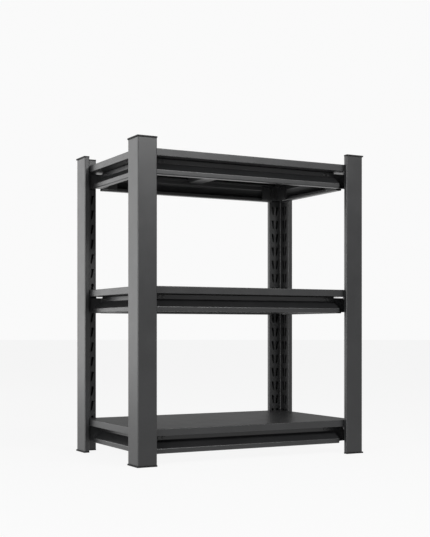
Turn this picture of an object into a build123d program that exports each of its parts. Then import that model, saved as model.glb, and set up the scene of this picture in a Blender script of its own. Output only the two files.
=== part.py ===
from build123d import *
import os

"""Three-tier bolt-free steel dumbbell rack, in millimetres.

The rack stands on z = 0 with its origin under the middle of the frame. X runs along the
rack's width, Y from front (negative) to back, Z up. Four L-shaped box posts stand at the
corners with the outside of the L facing out. Each tier is a frame of four roll-formed beams
hung between the posts, and a steel deck tray that lies loose on those beams.
"""

# ---- overall size -----------------------------------------------------------------------
RACK_WIDTH = 620.0            # outside of the posts, left to right
RACK_DEPTH = 388.0            # outside of the posts, front to back
RACK_HEIGHT = 753.0           # floor to the top of the post caps

# ---- posts ------------------------------------------------------------------------------
POST_ARM_X = 48.0             # arm of the L that faces the front or the back
POST_ARM_Y = 57.0             # arm of the L that faces the side
POST_WALL = 12.4              # thickness of each box-shaped arm
SHEET = 1.5                   # steel sheet of posts, beams and decks
OUTER_BEND = 2.5              # outside radius of the post's bends
SLOT_PITCH = 38.0             # height from one pair of hook slots to the next
SLOT_START = 39.85            # height of the lowest pair above the floor
SLOT_ROWS = 19
SLOT_HALF_HEIGHT = 12.0
SLOT_FOOT = (2.2, 6.8)        # narrow lower end, measured from the middle of the pair
SLOT_HEAD = (4.5, 11.5)       # wide upper end, measured from the middle of the pair

# ---- plastic ends of the posts ----------------------------------------------------------
CAP_PLATE = 3.4               # visible thickness of a top cap or a foot
CAP_LIP = 2.0                 # overhang beyond the post on its two outer sides
PLUG_DEPTH = 16.0             # plug that sits inside the post
PLUG_GAP = 0.3                # room between the plug and the inside of the post

# ---- tiers ------------------------------------------------------------------------------
DECK_TOPS = {"top": 729.0, "middle": 413.0, "bottom": 84.5}
DECK_HEIGHT = 16.7            # height of the deck's turned-down edge
DECK_GAP = 0.8                # room between the deck's edge and the inside of the posts
REST_GAP = 0.05               # room between the deck's flange and the beams that carry it
DECK_RETURN = 46.0            # width of the flange turned in below the deck's edge
RIB_TOP_WIDTH = 34.0
RIB_FOOT_WIDTH = 78.0
RIB_HEIGHT = 24.0
PEG_RADIUS = 3.0
PEG_LENGTH = 8.0
PEG_FROM_SIDE = 43.0          # peg centre from the outside of the post, along X
PEG_FROM_FRONT = 18.6         # peg centre from the outside of the post, along Y

# ---- beam section: distance in from the outside of the posts, height below the deck top --
BEAM_WEB = 44.6               # set-back web, hidden behind the recess
BEAM_FACE = 20.5              # front of the lower band
FLANGE_END = 62.0             # inner end of the flange that carries the deck
WEB_FOOT = 29.8               # height where the web ends and the slope starts
SLOPE_FOOT = 47.1             # height where the slope meets the lower band
BEAM_FOOT = 58.6              # underside of the beam
LOWER_RETURN = 38.0           # inner end of the bottom flange
HEM_TOP = 50.5                # top of the lip turned up at the end of the bottom flange
BEND_RADIUS = 2.6
BEAM_END_X = 56.0             # front and back beams start this far in from the side
BEAM_END_Y = 63.0             # side beams start this far in from the front or the back

# ---- brackets and rivets ----------------------------------------------------------------
BRACKET_SHEET = 2.5
BRACKET_TOP = 20.0            # height below the deck top
BRACKET_FOOT = 56.0
BRACKET_GAP = 0.05
HOOK_BRACKET_REACH = 92.0     # inner end of the leg behind the front or back beam
HOOK_PLATE_FRONT = 20.0       # edges of the plate that lies on the side arm of the post
HOOK_LENGTH_OUT = 4.0         # hook through the post's inner skin
HOOK_THICKNESS = 2.5
HOOK_OFFSET = 3.6             # hook's near side from the middle of the slot pair
HOOK_HEIGHT = 8.0
HOOK_ABOVE_SLOT_FOOT = 0.8
HOOK_LIP = 2.0
HOOK_LIP_DROP = 6.0
CORNER_BRACKET_LEG_X = 65.0   # far ends of the corner bracket's two legs
CORNER_BRACKET_LEG_Y = 95.0
RIVET_SHANK = 2.4
RIVET_HEAD = 4.0
RIVET_TAIL = 3.5
RIVET_HEAD_HEIGHT = 1.6
RIVET_TAIL_HEIGHT = 1.2
RIVET_HOLE = 2.45
RIVET_BELOW_DECK = 23.9
RIVET_PLACES_X = (72.0, 84.0)  # in from the side, through the front or back beam
RIVET_PLACES_Y = (76.0, 88.0)  # in from the front or back, through a side beam
CORNER_RIVET_X = 57.5          # through the two brackets
CORNER_RIVET_BELOW = (36.5, 49.0)

HALF_WIDTH = RACK_WIDTH / 2
HALF_DEPTH = RACK_DEPTH / 2
POST_BOTTOM = CAP_PLATE
POST_TOP = RACK_HEIGHT - CAP_PLATE


def block(x_range, y_range, z_range):
    """Box between two limits on each axis."""
    size = [high - low for low, high in (x_range, y_range, z_range)]
    middle = [(high + low) / 2 for low, high in (x_range, y_range, z_range)]
    return Pos(*middle) * Box(*size)


def to_corner(solid, side, end):
    """Move a solid drawn from a corner at (0, 0), growing in +X and +Y, to one corner of the rack."""
    if side == "right":
        solid = mirror(solid, about=Plane.YZ)
    if end == "rear":
        solid = mirror(solid, about=Plane.XZ)
    x = -HALF_WIDTH if side == "left" else HALF_WIDTH
    y = -HALF_DEPTH if end == "front" else HALF_DEPTH
    return Pos(x, y, 0) * solid


def arm_outline(inset, lip=0.0):
    """L-shaped outline of a post, inset by a sheet thickness or widened outside by a lip."""
    return [
        (inset - lip, inset - lip),
        (POST_ARM_X - inset, inset - lip),
        (POST_ARM_X - inset, POST_WALL - inset),
        (POST_WALL - inset, POST_WALL - inset),
        (POST_WALL - inset, POST_ARM_Y - inset),
        (inset - lip, POST_ARM_Y - inset),
    ]


def prism(points, bottom, top):
    """Vertical prism on a closed outline."""
    face = make_face(Polyline(*points, close=True))
    return Pos(0, 0, bottom) * extrude(face, amount=top - bottom)


def slot_outline(direction):
    """One wing of a hook slot, in (sideways, up) coordinates about the middle of its pair."""
    foot_near, foot_far = SLOT_FOOT
    head_near, head_far = SLOT_HEAD
    wing = [
        (foot_near, -SLOT_HALF_HEIGHT),
        (foot_far, -SLOT_HALF_HEIGHT),
        (head_far, SLOT_HALF_HEIGHT),
        (head_near, SLOT_HALF_HEIGHT),
    ]
    return [(direction * across, up) for across, up in wing]


def slot_cutters():
    """Cutters for every hook slot of one post, through the inner skins only."""
    middle_x = (POST_WALL + POST_ARM_X) / 2
    middle_y = (POST_WALL + POST_ARM_Y) / 2
    start = POST_WALL - 2 * SHEET
    cutters = []
    for row in range(SLOT_ROWS):
        height = SLOT_START + row * SLOT_PITCH
        for direction in (-1, 1):
            wing = make_face(Polyline(*slot_outline(direction), close=True))
            wing = fillet(wing.vertices(), radius=1.5)
            facing_y = Plane(origin=(middle_x, start, height), x_dir=(1, 0, 0), z_dir=(0, -1, 0))
            facing_x = Plane(origin=(start, middle_y, height), x_dir=(0, 1, 0), z_dir=(1, 0, 0))
            cutters.append(extrude(facing_y * wing, amount=-3 * SHEET))
            cutters.append(extrude(facing_x * wing, amount=3 * SHEET))
    return cutters


def post():
    """Closed L-shaped box post with bent edges and two columns of paired hook slots."""
    outer = prism(arm_outline(0), POST_BOTTOM, POST_TOP)
    upright = [edge for edge in outer.edges() if edge.length > RACK_HEIGHT / 2]
    outer = fillet(upright, radius=OUTER_BEND)
    hollow = prism(arm_outline(SHEET), POST_BOTTOM - 1, POST_TOP + 1)
    return outer - hollow - slot_cutters()


def post_end():
    """Plastic end of a post, drawn as a foot: a plate on the floor and a plug inside the post."""
    plate = prism(arm_outline(0, lip=CAP_LIP), 0, CAP_PLATE)
    upright = [edge for edge in plate.edges() if abs(edge.length - CAP_PLATE) < 0.1]
    plate = fillet(upright, radius=1.2)
    plug = prism(arm_outline(SHEET + PLUG_GAP), CAP_PLATE - 0.5, CAP_PLATE + PLUG_DEPTH)
    return plate + plug


def beam_face():
    """Open roll-formed section of a beam, in (inwards, up) coordinates below the deck top."""
    path = FilletPolyline(
        (FLANGE_END, -DECK_HEIGHT - REST_GAP),
        (BEAM_WEB, -DECK_HEIGHT - REST_GAP),
        (BEAM_WEB, -WEB_FOOT),
        (BEAM_FACE, -SLOPE_FOOT),
        (BEAM_FACE, -BEAM_FOOT),
        (LOWER_RETURN, -BEAM_FOOT),
        (LOWER_RETURN, -HEM_TOP),
        radius=BEND_RADIUS,
    )
    return make_face(offset(path, amount=SHEET, side=Side.LEFT))


def rivet_hole(centre, direction):
    """Cutter for a rivet's hole along X or Y."""
    turn = Rot(90, 0, 0) if direction == "y" else Rot(0, 90, 0)
    return Pos(*centre) * turn * Cylinder(RIVET_HOLE, 12)


def long_beam(deck_top):
    """Front beam of a tier, in rack coordinates."""
    length = RACK_WIDTH - 2 * BEAM_END_X
    section = Plane(origin=(-length / 2, -HALF_DEPTH, deck_top), x_dir=(0, 1, 0), z_dir=(1, 0, 0))
    beam = extrude(section * beam_face(), amount=length)
    for place in RIVET_PLACES_X:
        for side in (-1, 1):
            centre = (side * (HALF_WIDTH - place), -HALF_DEPTH + BEAM_WEB, deck_top - RIVET_BELOW_DECK)
            beam -= rivet_hole(centre, "y")
    return beam


def short_beam(deck_top):
    """Left beam of a tier, in rack coordinates."""
    length = RACK_DEPTH - 2 * BEAM_END_Y
    section = Plane(origin=(-HALF_WIDTH, length / 2, deck_top), x_dir=(1, 0, 0), z_dir=(0, -1, 0))
    beam = extrude(section * beam_face(), amount=length)
    for place in RIVET_PLACES_Y:
        for end in (-1, 1):
            centre = (-HALF_WIDTH + BEAM_WEB, end * (HALF_DEPTH - place), deck_top - RIVET_BELOW_DECK)
            beam -= rivet_hole(centre, "x")
    return beam


def hook_row(deck_top):
    """Height of the slot pair nearest to the middle of a tier's brackets."""
    middle = deck_top - (BRACKET_TOP + BRACKET_FOOT) / 2
    rows = [SLOT_START + row * SLOT_PITCH for row in range(SLOT_ROWS)]
    return min(rows, key=lambda height: abs(height - middle))


def hook_bracket(deck_top):
    """Angle bracket with two hooks, drawn at a corner at (0, 0), that hangs a long beam on a post."""
    low = deck_top - BRACKET_FOOT
    high = deck_top - BRACKET_TOP
    skin = POST_WALL + BRACKET_GAP
    leg_front = BEAM_WEB + SHEET + BRACKET_GAP
    leg = block((skin, HOOK_BRACKET_REACH), (leg_front, leg_front + BRACKET_SHEET), (low, high))
    plate = block((skin, skin + BRACKET_SHEET), (HOOK_PLATE_FRONT, leg_front + BRACKET_SHEET), (low, high))
    bracket = leg + plate
    slot_middle = (POST_WALL + POST_ARM_Y) / 2
    hook_foot = hook_row(deck_top) - SLOT_HALF_HEIGHT + HOOK_ABOVE_SLOT_FOOT
    hook_end = skin - HOOK_LENGTH_OUT
    for direction in (-1, 1):
        near = slot_middle + direction * HOOK_OFFSET
        far = near + direction * HOOK_THICKNESS
        span = (min(near, far), max(near, far))
        bracket += block((hook_end, skin + 1), span, (hook_foot, hook_foot + HOOK_HEIGHT))
        bracket += block((hook_end, hook_end + HOOK_LIP), span, (hook_foot - HOOK_LIP_DROP, hook_foot + 1))
    for place in RIVET_PLACES_X:
        bracket -= rivet_hole((place, leg_front, deck_top - RIVET_BELOW_DECK), "y")
    for below in CORNER_RIVET_BELOW:
        bracket -= rivet_hole((CORNER_RIVET_X, leg_front, deck_top - below), "y")
    return bracket


def corner_bracket(deck_top):
    """Angle bracket, drawn at a corner at (0, 0), that hangs a side beam on the hook bracket."""
    low = deck_top - BRACKET_FOOT
    high = deck_top - BRACKET_TOP
    web_inside = BEAM_WEB + SHEET + BRACKET_GAP
    cross_front = web_inside + BRACKET_SHEET + BRACKET_GAP
    along = block((web_inside, web_inside + BRACKET_SHEET), (cross_front, CORNER_BRACKET_LEG_Y), (low, high))
    cross = block((web_inside, CORNER_BRACKET_LEG_X), (cross_front, cross_front + BRACKET_SHEET), (low, high))
    bracket = along + cross
    for place in RIVET_PLACES_Y:
        bracket -= rivet_hole((web_inside, place, deck_top - RIVET_BELOW_DECK), "x")
    for below in CORNER_RIVET_BELOW:
        bracket -= rivet_hole((CORNER_RIVET_X, cross_front, deck_top - below), "y")
    return bracket


def rivet(grip):
    """Rivet along +Z: domed head below z = 0, shank through the grip, flat tail beyond it."""
    head = Pos(0, 0, -RIVET_HEAD_HEIGHT / 2) * Cylinder(RIVET_HEAD, RIVET_HEAD_HEIGHT)
    head = fillet(head.edges().group_by(Axis.Z)[0], radius=RIVET_HEAD_HEIGHT * 0.8)
    shank = Pos(0, 0, grip / 2) * Cylinder(RIVET_SHANK, grip + 0.2)
    tail = Pos(0, 0, grip + RIVET_TAIL_HEIGHT / 2) * Cylinder(RIVET_TAIL, RIVET_TAIL_HEIGHT)
    return head + shank + tail


def corner_rivets(deck_top):
    """The six rivets of one corner of a tier, drawn at a corner at (0, 0)."""
    web_grip = SHEET + BRACKET_GAP + BRACKET_SHEET
    plate_grip = 2 * BRACKET_SHEET + BRACKET_GAP
    inside = BEAM_WEB + SHEET + BRACKET_GAP
    rivets = []
    for place in RIVET_PLACES_X:
        rivets.append(Pos(place, BEAM_WEB, deck_top - RIVET_BELOW_DECK) * Rot(-90, 0, 0) * rivet(web_grip))
    for place in RIVET_PLACES_Y:
        rivets.append(Pos(BEAM_WEB, place, deck_top - RIVET_BELOW_DECK) * Rot(0, 90, 0) * rivet(web_grip))
    for below in CORNER_RIVET_BELOW:
        rivets.append(Pos(CORNER_RIVET_X, inside, deck_top - below) * Rot(-90, 0, 0) * rivet(plate_grip))
    return rivets


def deck(deck_top):
    """Deck tray: flat top, turned-down edges and a flange turned in all round below them."""
    half_x = HALF_WIDTH - POST_WALL - DECK_GAP
    half_y = HALF_DEPTH - POST_WALL - DECK_GAP
    low = deck_top - DECK_HEIGHT
    tray = block((-half_x, half_x), (-half_y, half_y), (low, deck_top))
    tray = fillet(tray.edges().filter_by(Axis.Z), radius=3.0)
    tray = fillet(tray.edges().group_by(Axis.Z)[-1], radius=1.4)
    tray = fillet(tray.edges().group_by(Axis.Z)[0], radius=1.2)
    pocket_x = half_x - SHEET
    pocket_y = half_y - SHEET
    tray -= block((-pocket_x, pocket_x), (-pocket_y, pocket_y), (low + SHEET, deck_top - SHEET))
    mouth_x = half_x - DECK_RETURN
    mouth_y = half_y - DECK_RETURN
    tray -= block((-mouth_x, mouth_x), (-mouth_y, mouth_y), (low - 1, low + 2 * SHEET))
    return tray


def deck_rib(deck_top):
    """Hat-shaped stiffener across the middle of the deck's underside, front to back."""
    length = RACK_DEPTH - 2 * (FLANGE_END + 3.0)
    foot = RIB_FOOT_WIDTH / 2
    shoulder = RIB_TOP_WIDTH / 2 + 8.0
    crown = RIB_TOP_WIDTH / 2
    path = FilletPolyline(
        (-foot, 0),
        (-shoulder, 0),
        (-crown, -RIB_HEIGHT),
        (crown, -RIB_HEIGHT),
        (shoulder, 0),
        (foot, 0),
        radius=BEND_RADIUS,
    )
    start = Plane(origin=(0, length / 2, deck_top - SHEET), x_dir=(1, 0, 0), z_dir=(0, -1, 0))
    face = make_face(offset(path, amount=SHEET, side=Side.RIGHT))
    return extrude(start * face, amount=length)


def deck_pegs(deck_top):
    """Four round pegs under the deck's corners that keep it from sliding off its beams."""
    low = deck_top - DECK_HEIGHT - PEG_LENGTH
    peg = Pos(0, 0, low + PEG_LENGTH / 2) * Cylinder(PEG_RADIUS, PEG_LENGTH)
    peg = fillet(peg.edges().group_by(Axis.Z)[0], radius=1.2)
    peg = Pos(PEG_FROM_SIDE, PEG_FROM_FRONT, 0) * peg
    return [to_corner(peg, side, end) for side in ("left", "right") for end in ("front", "rear")]


def save(name, shape):
    """Write one sub-part as parts/NAME.step."""
    if isinstance(shape, list):
        shape = Compound(children=[solid for piece in shape for solid in piece.solids()])
    export_step(shape, f"parts/{name}.step")


def main():
    os.makedirs("parts", exist_ok=True)
    corners = [(side, end) for end in ("front", "rear") for side in ("left", "right")]
    one_post = post()
    foot = post_end()
    cap = Pos(0, 0, RACK_HEIGHT) * mirror(foot, about=Plane.XY)
    for side, end in corners:
        save(f"{end}_{side}_post", to_corner(one_post, side, end))
        save(f"{end}_{side}_post_cap", to_corner(cap, side, end))
        save(f"{end}_{side}_foot", to_corner(foot, side, end))
    for tier, deck_top in DECK_TOPS.items():
        front = long_beam(deck_top)
        left = short_beam(deck_top)
        save(f"{tier}_front_beam", front)
        save(f"{tier}_rear_beam", mirror(front, about=Plane.XZ))
        save(f"{tier}_left_beam", left)
        save(f"{tier}_right_beam", mirror(left, about=Plane.YZ))
        rivets = []
        for side, end in corners:
            save(f"{tier}_{end}_{side}_hook_bracket", to_corner(hook_bracket(deck_top), side, end))
            save(f"{tier}_{end}_{side}_corner_bracket", to_corner(corner_bracket(deck_top), side, end))
            rivets += [to_corner(piece, side, end) for piece in corner_rivets(deck_top)]
        save(f"{tier}_rivets", rivets)
        save(f"{tier}_deck", deck(deck_top))
        save(f"{tier}_deck_rib", deck_rib(deck_top))
        save(f"{tier}_deck_pegs", deck_pegs(deck_top))


main()
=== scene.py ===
"""Looks of a three-tier steel dumbbell rack: materials, studio, light and camera."""
import math

import bpy
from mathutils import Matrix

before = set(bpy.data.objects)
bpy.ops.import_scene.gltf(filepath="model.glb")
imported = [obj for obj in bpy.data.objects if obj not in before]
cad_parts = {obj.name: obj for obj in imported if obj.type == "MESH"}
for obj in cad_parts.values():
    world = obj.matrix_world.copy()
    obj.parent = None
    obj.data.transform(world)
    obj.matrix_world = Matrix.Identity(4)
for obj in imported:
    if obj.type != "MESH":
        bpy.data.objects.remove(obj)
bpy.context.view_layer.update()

# ---- camera: a level view from the front left, a little below mid-height -------------------
RACK_WIDTH = 0.620
CAMERA_YAW = 28.035            # degrees turned right from looking straight along +Y
CAMERA_PLACE = (-2.057 * RACK_WIDTH, -3.834 * RACK_WIDTH, 0.5037 * RACK_WIDTH)
CAMERA_LENS = 70.68            # mm on a 36 mm long side
CAMERA_SHIFT = 0.114

# ---- colours, linear ------------------------------------------------------------------------
CHARCOAL = (0.016, 0.0163, 0.017, 1.0)
CHARCOAL_DEEP = (0.012, 0.0122, 0.0127, 1.0)
PLASTIC_BLACK = (0.004, 0.004, 0.0043, 1.0)
PLASTIC_WORN = (0.007, 0.007, 0.0073, 1.0)
PALE = (0.93, 0.93, 0.93, 1.0)

METRE_TO_MM = 1000.0


# ---- node helpers ---------------------------------------------------------------------------
def new_material(name):
    """Empty node material with its shader and its output."""
    material = bpy.data.materials.new(name)
    material.use_nodes = True
    tree = material.node_tree
    tree.nodes.clear()
    output = tree.nodes.new("ShaderNodeOutputMaterial")
    shader = tree.nodes.new("ShaderNodeBsdfPrincipled")
    tree.links.new(shader.outputs["BSDF"], output.inputs["Surface"])
    return material, tree, shader


def noise(tree, size_mm, detail=2.0, roughness=0.5, stretch=(1.0, 1.0, 1.0)):
    """Noise in object space whose features are about size_mm across."""
    place = tree.nodes.new("ShaderNodeTexCoord")
    mapping = tree.nodes.new("ShaderNodeMapping")
    mapping.inputs["Scale"].default_value = stretch
    texture = tree.nodes.new("ShaderNodeTexNoise")
    texture.inputs["Scale"].default_value = METRE_TO_MM / size_mm
    texture.inputs["Detail"].default_value = detail
    texture.inputs["Roughness"].default_value = roughness
    tree.links.new(place.outputs["Object"], mapping.inputs["Vector"])
    tree.links.new(mapping.outputs["Vector"], texture.inputs["Vector"])
    return texture.outputs["Fac"]


def ramp(tree, value, stops):
    """Colour ramp through (position, colour) stops."""
    node = tree.nodes.new("ShaderNodeValToRGB")
    elements = node.color_ramp.elements
    while len(elements) < len(stops):
        elements.new(0.5)
    for element, (position, colour) in zip(elements, stops):
        element.position = position
        element.color = colour
    tree.links.new(value, node.inputs["Fac"])
    return node.outputs["Color"]


def spread(tree, value, low, high):
    """Map 0..1 to low..high."""
    node = tree.nodes.new("ShaderNodeMapRange")
    node.inputs["To Min"].default_value = low
    node.inputs["To Max"].default_value = high
    tree.links.new(value, node.inputs["Value"])
    return node.outputs["Result"]


def mix_colour(tree, factor, low, high):
    """Mix two colours or sockets by a factor."""
    node = tree.nodes.new("ShaderNodeMix")
    node.data_type = "RGBA"
    tree.links.new(factor, node.inputs["Factor"])
    for socket, colour in ((node.inputs["A"], low), (node.inputs["B"], high)):
        if isinstance(colour, tuple):
            socket.default_value = colour
        else:
            tree.links.new(colour, socket)
    return node.outputs["Result"]


def bump(tree, height, depth_mm, strength=1.0, under=None):
    """Bump of a given depth, over another bump if there is one."""
    node = tree.nodes.new("ShaderNodeBump")
    node.inputs["Strength"].default_value = strength
    node.inputs["Distance"].default_value = depth_mm / METRE_TO_MM
    tree.links.new(height, node.inputs["Height"])
    if under is not None:
        tree.links.new(under, node.inputs["Normal"])
    return node.outputs["Normal"]


# ---- materials ------------------------------------------------------------------------------
def powder_coat(name, tone, deep, roughness):
    """Semi-gloss powder coat: fine orange peel, slow waviness and faint changes of tone."""
    material, tree, shader = new_material(name)
    cloud = noise(tree, 90.0, detail=3.0)
    fleck = noise(tree, 1.1, detail=1.0)
    colour = ramp(tree, cloud, ((0.35, deep), (0.65, tone)))
    fine = ramp(tree, fleck, ((0.40, tuple(0.86 * c for c in deep[:3]) + (1.0,)), (0.60, tone)))
    blend = mix_colour(tree, spread(tree, cloud, 0.25, 0.45), colour, fine)
    tree.links.new(blend, shader.inputs["Base Color"])
    rough = spread(tree, noise(tree, 45.0, detail=4.0), roughness - 0.05, roughness + 0.05)
    tree.links.new(rough, shader.inputs["Roughness"])
    peel = bump(tree, noise(tree, 2.2, detail=1.5), 0.035)
    wave = bump(tree, noise(tree, 70.0, detail=1.0), 0.12, under=peel)
    tree.links.new(wave, shader.inputs["Normal"])
    shader.inputs["Specular IOR Level"].default_value = 0.5
    return material


def moulded_plastic(name):
    """Matt black moulded plastic with a fine spark-eroded grain."""
    material, tree, shader = new_material(name)
    tone = ramp(tree, noise(tree, 14.0, detail=3.0), ((0.3, PLASTIC_BLACK), (0.7, PLASTIC_WORN)))
    tree.links.new(tone, shader.inputs["Base Color"])
    rough = spread(tree, noise(tree, 6.0), 0.55, 0.70)
    tree.links.new(rough, shader.inputs["Roughness"])
    shader.inputs["Specular IOR Level"].default_value = 0.22
    tree.links.new(bump(tree, noise(tree, 0.5, detail=2.0), 0.03), shader.inputs["Normal"])
    return material


def dress(material_of):
    """Give every CAD node the material of its finish."""
    for node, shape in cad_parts.items():
        for place in shape.material_slots:
            place.material = material_of(node)


def choose_material():
    """Function from a node's name to its material."""
    coat = powder_coat("charcoal_powder_coat", CHARCOAL, CHARCOAL_DEEP, 0.36)
    plastic = moulded_plastic("black_moulded_plastic")

    def material_of(node):
        if node.endswith(("_foot", "_post_cap")):
            return plastic
        return coat

    return material_of


# ---- studio ---------------------------------------------------------------------------------
FLOOR_RADIUS = 30.0
BACKGROUND = 0.955             # brightness of the plain background
AMBIENT = 0.05                 # light that the surroundings give the rack
GLOSS_AMBIENT = 0.32           # brightness of the surroundings in reflections
FLOOR_GLOW = 0.95              # share of the floor's brightness that shadows can't take away
MIDDLE = (0.0, 0.0, 0.38)


def studio_floor():
    """Pale floor that reads as one plain surface with the background."""
    bpy.ops.mesh.primitive_circle_add(vertices=96, radius=FLOOR_RADIUS, fill_type="NGON", location=(0, 0, 0))
    floor = bpy.context.object
    floor.name = "studio_floor"
    material, tree, shader = new_material("studio_floor")
    shader.inputs["Base Color"].default_value = PALE
    shader.inputs["Roughness"].default_value = 0.9
    shader.inputs["Specular IOR Level"].default_value = 0.1
    glow = tree.nodes.new("ShaderNodeEmission")
    glow.inputs["Color"].default_value = (BACKGROUND, BACKGROUND, BACKGROUND, 1.0)
    mix = tree.nodes.new("ShaderNodeMixShader")
    mix.inputs["Fac"].default_value = FLOOR_GLOW
    output = next(n for n in tree.nodes if n.type == "OUTPUT_MATERIAL")
    tree.links.new(shader.outputs["BSDF"], mix.inputs[1])
    tree.links.new(glow.outputs["Emission"], mix.inputs[2])
    tree.links.new(mix.outputs["Shader"], output.inputs["Surface"])
    floor.data.materials.append(material)


def surroundings():
    """Plain pale background, seen brighter than the light it gives."""
    world = bpy.data.worlds.new("studio")
    bpy.context.scene.world = world
    world.use_nodes = True
    tree = world.node_tree
    tree.nodes.clear()
    path = tree.nodes.new("ShaderNodeLightPath")
    output = tree.nodes.new("ShaderNodeOutputWorld")
    seen, gloss, given = (tree.nodes.new("ShaderNodeBackground") for _ in range(3))
    for node, level in ((seen, BACKGROUND), (gloss, GLOSS_AMBIENT), (given, AMBIENT)):
        node.inputs["Color"].default_value = (level, level, level, 1.0)
    shiny = tree.nodes.new("ShaderNodeMixShader")
    tree.links.new(path.outputs["Is Glossy Ray"], shiny.inputs["Fac"])
    tree.links.new(given.outputs["Background"], shiny.inputs[1])
    tree.links.new(gloss.outputs["Background"], shiny.inputs[2])
    mix = tree.nodes.new("ShaderNodeMixShader")
    tree.links.new(path.outputs["Is Camera Ray"], mix.inputs["Fac"])
    tree.links.new(shiny.outputs["Shader"], mix.inputs[1])
    tree.links.new(seen.outputs["Background"], mix.inputs[2])
    tree.links.new(mix.outputs["Shader"], output.inputs["Surface"])


def softbox(name, place, size, power, target=MIDDLE):
    """Rectangular area light at a place, turned to a target, in metres and watts."""
    data = bpy.data.lights.new(name, "AREA")
    data.shape = "RECTANGLE"
    data.size, data.size_y = size
    data.energy = power
    lamp = bpy.data.objects.new(name, data)
    bpy.context.scene.collection.objects.link(lamp)
    lamp.location = place
    aim = [t - p for t, p in zip(target, place)]
    horizontal = math.hypot(aim[0], aim[1])
    lamp.rotation_euler = (math.atan2(horizontal, -aim[2]), 0, math.atan2(-aim[0], aim[1]))
    return lamp


def lights():
    """Large soft sources: walls of light at the back left and the left, one overhead, one high in front."""
    softbox("back_left_wall", (-1.9, 2.6, 0.7), (2.6, 2.4), 38)
    softbox("left_wall", (-2.5, -1.3, 0.6), (1.6, 2.2), 85)
    softbox("overhead", (0.3, -0.3, 2.6), (2.0, 1.6), 10)
    softbox("front_high", (0.7, -2.6, 1.9), (1.8, 0.5), 75)


def camera():
    """The level view from the front left."""
    data = bpy.data.cameras.new("view")
    data.sensor_width = 36.0
    data.lens = CAMERA_LENS
    data.shift_y = CAMERA_SHIFT
    data.clip_start = 0.05
    data.clip_end = 80.0
    item = bpy.data.objects.new("view", data)
    bpy.context.scene.collection.objects.link(item)
    item.location = CAMERA_PLACE
    item.rotation_euler = (math.radians(90), 0, math.radians(-CAMERA_YAW))
    bpy.context.scene.camera = item


def main():
    dress(choose_material())
    studio_floor()
    surroundings()
    lights()
    camera()
    bpy.context.scene.view_settings.view_transform = "Standard"


main()
